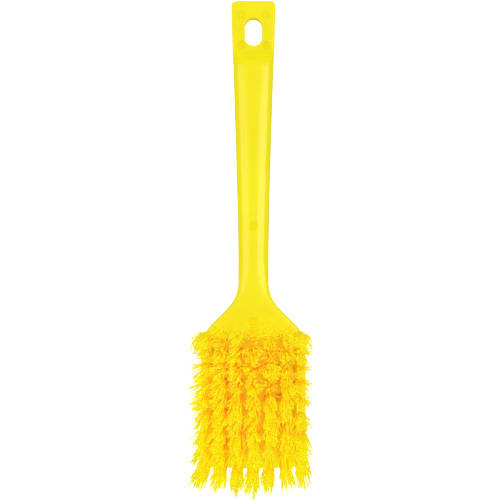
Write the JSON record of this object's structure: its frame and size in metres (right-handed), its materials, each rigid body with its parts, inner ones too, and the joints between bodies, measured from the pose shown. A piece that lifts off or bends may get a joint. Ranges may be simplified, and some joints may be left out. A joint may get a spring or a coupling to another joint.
{
  "type": "washing brush",
  "caption": "Short-handled washing brush: a moulded block with a slotted hanging tab, and fanned tufts of stiff crimped bristles on the head.",
  "frame": {"origin": "middle of the brush's length and width, on the flat back that it lies on", "axes": "+Z from the back towards the bristle tips, +Y from the head towards the hanging tab, +X across the brush"},
  "size_m": [0.0646, 0.2724, 0.0522],
  "materials": {
    "block": "satin yellow polypropylene moulding",
    "bristle": "crimped yellow polyester filament",
    "anchor": "flat drawn wire"
  },
  "bodies": {
    "root": {"handle_block": "block", "edge_tuft_row_1_column_1": "bristle", "edge_tuft_row_1_column_2": "bristle", "edge_tuft_row_1_column_3": "bristle", "edge_tuft_row_1_column_4": "bristle", "edge_tuft_row_1_column_5": "bristle", "edge_tuft_row_1_column_6": "bristle", "edge_tuft_row_1_column_7": "bristle", "inner_tufts_row_2": "bristle", "edge_tuft_row_2_column_1": "bristle", "edge_tuft_row_2_column_7": "bristle", "inner_tufts_row_3": "bristle", "edge_tuft_row_3_column_1": "bristle", "edge_tuft_row_3_column_7": "bristle", "inner_tufts_row_4": "bristle", "edge_tuft_row_4_column_1": "bristle", "edge_tuft_row_4_column_7": "bristle", "inner_tufts_row_5": "bristle", "edge_tuft_row_5_column_1": "bristle", "edge_tuft_row_5_column_7": "bristle", "inner_tufts_row_6": "bristle", "edge_tuft_row_6_column_1": "bristle", "edge_tuft_row_6_column_7": "bristle", "inner_tufts_row_7": "bristle", "edge_tuft_row_7_column_1": "bristle", "edge_tuft_row_7_column_7": "bristle", "inner_tufts_row_8": "bristle", "edge_tuft_row_8_column_1": "bristle", "edge_tuft_row_8_column_7": "bristle", "edge_tuft_row_9_column_1": "bristle", "edge_tuft_row_9_column_2": "bristle", "edge_tuft_row_9_column_3": "bristle", "edge_tuft_row_9_column_4": "bristle", "edge_tuft_row_9_column_5": "bristle", "edge_tuft_row_9_column_6": "bristle", "edge_tuft_row_9_column_7": "bristle"}
  },
  "joints": []
}
